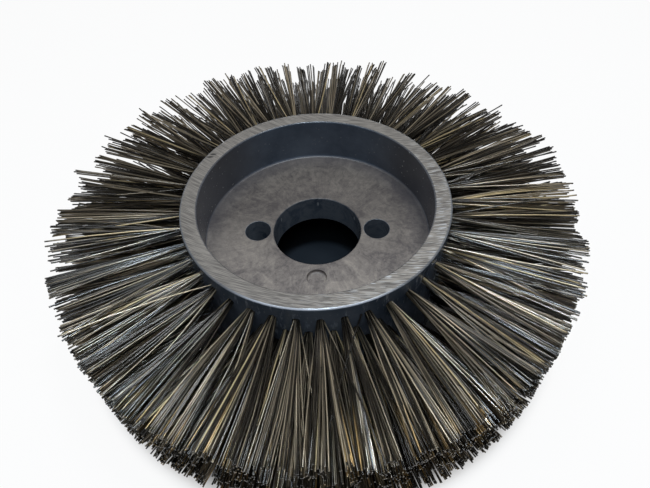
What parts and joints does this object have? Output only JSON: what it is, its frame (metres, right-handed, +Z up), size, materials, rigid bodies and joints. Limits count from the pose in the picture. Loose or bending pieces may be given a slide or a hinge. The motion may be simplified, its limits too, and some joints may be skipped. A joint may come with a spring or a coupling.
{
  "type": "wire drum brush",
  "caption": "Wire drum brush: a round moulded hub with a web, a central bore and drive pin holes, its outside set with rows of fanned wire tufts.",
  "frame": {"origin": "centre of the hub's lower rim, on the axis the brush turns about, where the brush stands", "axes": "+Z up along the axis the brush turns about; the two drive pin holes lie along X, and the web's small dimple is towards -Y"},
  "size_m": [0.3124, 0.3122, 0.08],
  "materials": {
    "hub_plastic": "dark grey moulded plastic, satin walls, mottled web, scored rims",
    "brush_wire": "drawn wire with a dark bronze skin, some wires golden",
    "anchor_steel": "plain drawn steel"
  },
  "bodies": {
    "root": {"hub": "hub_plastic", "tuft_column_01": "brush_wire", "tuft_column_02": "brush_wire", "tuft_column_03": "brush_wire", "tuft_column_04": "brush_wire", "tuft_column_05": "brush_wire", "tuft_column_06": "brush_wire", "tuft_column_07": "brush_wire", "tuft_column_08": "brush_wire", "tuft_column_09": "brush_wire", "tuft_column_10": "brush_wire", "tuft_column_11": "brush_wire", "tuft_column_12": "brush_wire", "tuft_column_13": "brush_wire", "tuft_column_14": "brush_wire", "tuft_column_15": "brush_wire", "tuft_column_16": "brush_wire", "tuft_column_17": "brush_wire", "tuft_column_18": "brush_wire", "tuft_column_19": "brush_wire", "tuft_column_20": "brush_wire", "tuft_column_21": "brush_wire", "tuft_column_22": "brush_wire", "tuft_column_23": "brush_wire", "tuft_column_24": "brush_wire", "tuft_column_25": "brush_wire", "tuft_column_26": "brush_wire", "tuft_column_27": "brush_wire", "tuft_column_28": "brush_wire", "tuft_column_29": "brush_wire", "tuft_column_30": "brush_wire", "tuft_column_31": "brush_wire", "tuft_column_32": "brush_wire", "tuft_column_33": "brush_wire", "tuft_column_34": "brush_wire", "tuft_column_35": "brush_wire", "tuft_column_36": "brush_wire", "tuft_column_37": "brush_wire", "tuft_column_38": "brush_wire", "tuft_column_39": "brush_wire", "tuft_column_40": "brush_wire", "tuft_anchors": "anchor_steel"}
  },
  "joints": []
}
